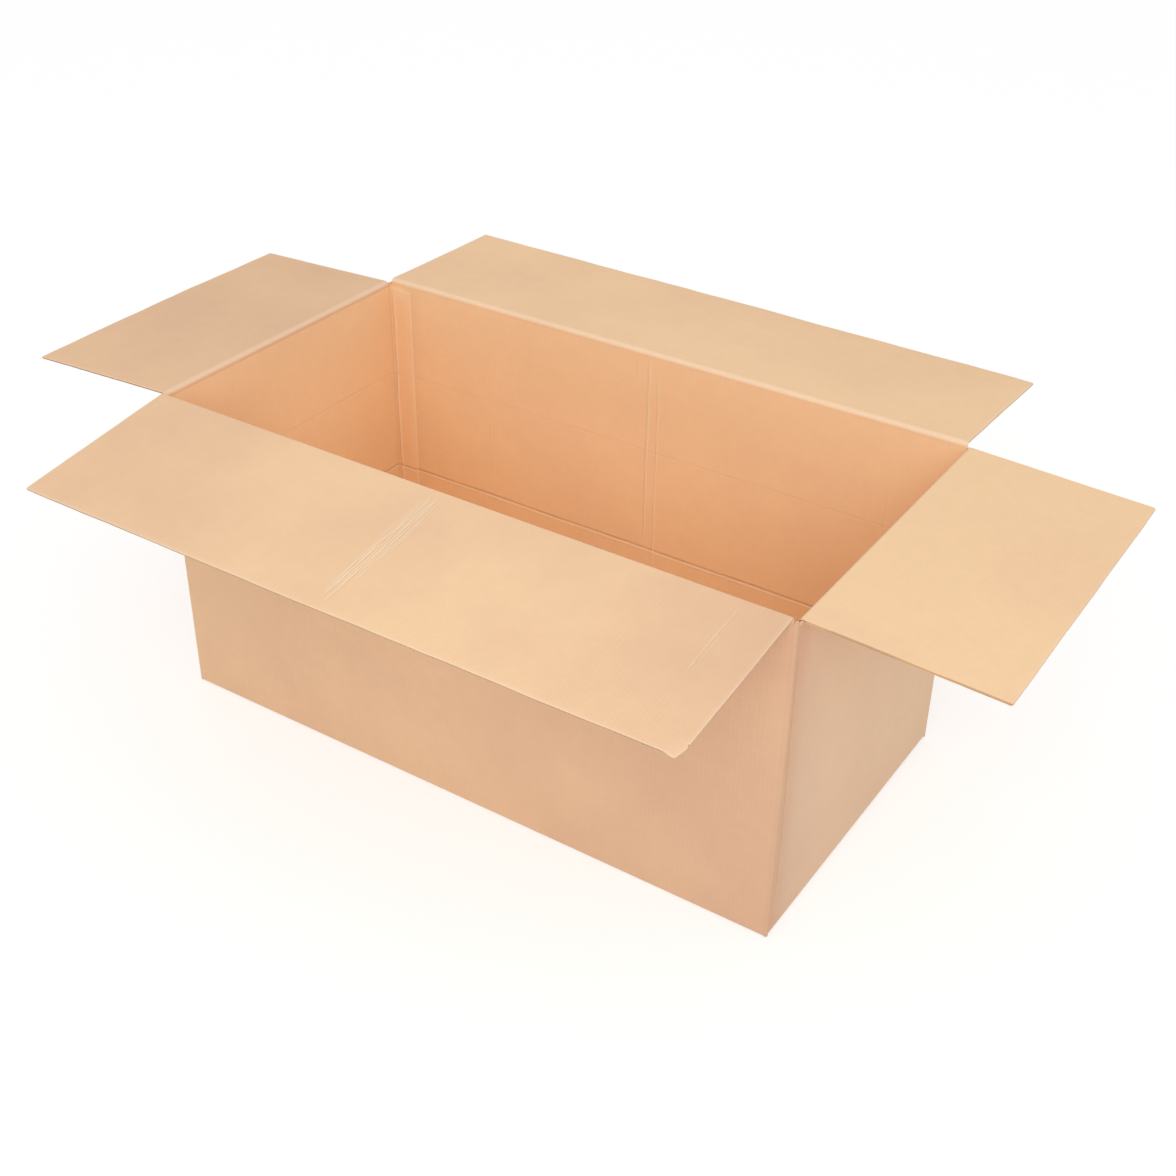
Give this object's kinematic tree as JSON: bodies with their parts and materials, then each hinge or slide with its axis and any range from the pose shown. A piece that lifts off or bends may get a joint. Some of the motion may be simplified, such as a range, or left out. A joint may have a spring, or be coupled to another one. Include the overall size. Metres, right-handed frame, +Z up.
{
  "type": "open cardboard box",
  "caption": "Large open carton of single-wall corrugated board with a closed bottom and top flaps folded out on their creases.",
  "frame": {"origin": "middle of the carton's underside, between its walls", "axes": "+X along the long walls, +Y towards the back long wall, +Z up"},
  "size_m": [1.8198, 1.2235, 0.6013],
  "materials": {
    "kraft_board": "plain brown kraft liner, matt, with faint flute lines, pressed folds and raw cut edges"
  },
  "bodies": {
    "carton": {"carton_body": "kraft_board"},
    "front_flap": {"flap_front": "kraft_board"},
    "back_flap": {"flap_back": "kraft_board"},
    "left_flap": {"flap_left": "kraft_board"},
    "right_flap": {"flap_right": "kraft_board"}
  },
  "joints": [
    {"name": "front_fold", "type": "hinge", "parent": "carton", "child": "front_flap", "pos_m": [0, -0.30715, 0.5974], "axis": [1, 0, 0], "range_deg": [-188, 82]},
    {"name": "back_fold", "type": "hinge", "parent": "carton", "child": "back_flap", "pos_m": [0, 0.30715, 0.5974], "axis": [-1, 0, 0], "range_deg": [-182.1, 87.9]},
    {"name": "left_fold", "type": "hinge", "parent": "carton", "child": "left_flap", "pos_m": [-0.60415, 0, 0.593], "axis": [0, -1, 0], "range_deg": [-182.5, 87.5]},
    {"name": "right_fold", "type": "hinge", "parent": "carton", "child": "right_flap", "pos_m": [0.60415, 0, 0.593], "axis": [0, 1, 0], "range_deg": [-182.6, 87.4]}
  ]
}
